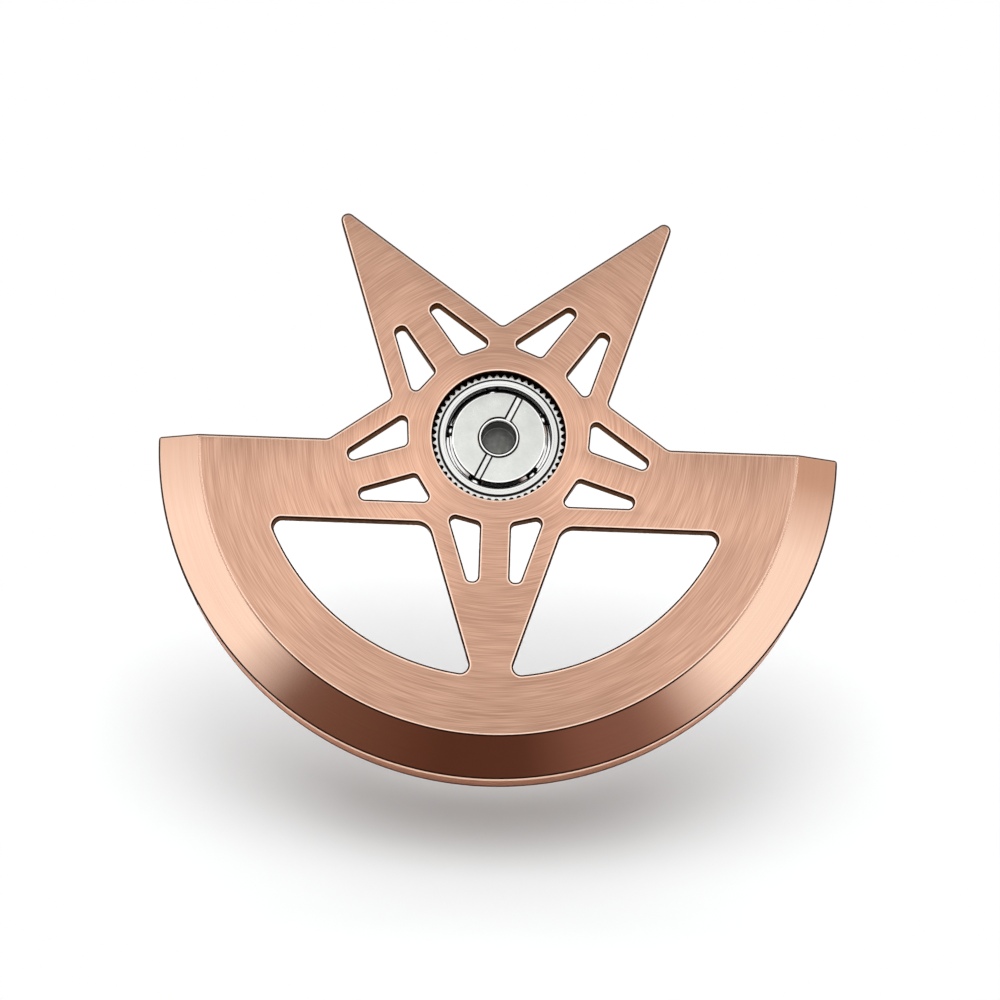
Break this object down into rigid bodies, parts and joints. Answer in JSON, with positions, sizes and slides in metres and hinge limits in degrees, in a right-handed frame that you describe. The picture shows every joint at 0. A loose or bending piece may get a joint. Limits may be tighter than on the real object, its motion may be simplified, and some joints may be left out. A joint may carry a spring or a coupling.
{
  "type": "automatic watch rotor",
  "caption": "Skeleton oscillating weight for a self-winding watch: a star that grows out of a bevelled half ring, carried on its own small ball bearing.",
  "frame": {"origin": "on the axis of the bearing's bore, at the lower face of the inner race that seats on the movement's post", "axes": "+Z along the spin axis, out of the watch, towards the decorated face; +Y between the two free arms of the star; the heavy rim lies towards -Y"},
  "size_m": [0.0266, 0.0222, 0.0022],
  "materials": {
    "rose_gold_plate": "rose-coloured plating, brushed in circles on the face, polished on the bevel",
    "gear_steel": "plain cut steel",
    "race_steel": "turned and polished",
    "cap_steel": "fine satin",
    "cage_metal": "polished",
    "ball_steel": "mirror polished"
  },
  "bodies": {
    "hub": {"inner_race": "race_steel", "inner_race_cap": "cap_steel"},
    "rotor": {"oscillating_weight": "rose_gold_plate", "rotor_gear": "gear_steel", "outer_race": "race_steel"},
    "cage": {"ball_cage": "cage_metal"},
    "ball_1": {"ball_1": "ball_steel"},
    "ball_2": {"ball_2": "ball_steel"},
    "ball_3": {"ball_3": "ball_steel"},
    "ball_4": {"ball_4": "ball_steel"},
    "ball_5": {"ball_5": "ball_steel"}
  },
  "joints": [
    {"name": "rotor_spin", "type": "hinge", "parent": "hub", "child": "rotor", "pos_m": [0, 0, 0.0007], "axis": [0, 0, 1], "continuous": true},
    {"name": "cage_spin", "type": "hinge", "parent": "hub", "child": "cage", "pos_m": [0, 0, 0.0007], "axis": [0, 0, 1], "continuous": true},
    {"name": "ball_1_spin", "type": "hinge", "parent": "cage", "child": "ball_1", "pos_m": [0.00171, 0.00087, 0.0007], "axis": [0, 0, 1], "continuous": true},
    {"name": "ball_2_spin", "type": "hinge", "parent": "cage", "child": "ball_2", "pos_m": [-0.0003, 0.00189, 0.0007], "axis": [0, 0, 1], "continuous": true},
    {"name": "ball_3_spin", "type": "hinge", "parent": "cage", "child": "ball_3", "pos_m": [-0.00189, 0.0003, 0.0007], "axis": [0, 0, 1], "continuous": true},
    {"name": "ball_4_spin", "type": "hinge", "parent": "cage", "child": "ball_4", "pos_m": [-0.00087, -0.00171, 0.0007], "axis": [0, 0, 1], "continuous": true},
    {"name": "ball_5_spin", "type": "hinge", "parent": "cage", "child": "ball_5", "pos_m": [0.00135, -0.00135, 0.0007], "axis": [0, 0, 1], "continuous": true}
  ],
  "couplings": [
    {"joint": "cage_spin", "follows": "rotor_spin", "ratio": 0.56527},
    {"joint": "ball_1_spin", "follows": "rotor_spin", "ratio": 3.7647},
    {"joint": "ball_2_spin", "follows": "rotor_spin", "ratio": 3.7647},
    {"joint": "ball_3_spin", "follows": "rotor_spin", "ratio": 3.7647},
    {"joint": "ball_4_spin", "follows": "rotor_spin", "ratio": 3.7647},
    {"joint": "ball_5_spin", "follows": "rotor_spin", "ratio": 3.7647}
  ]
}
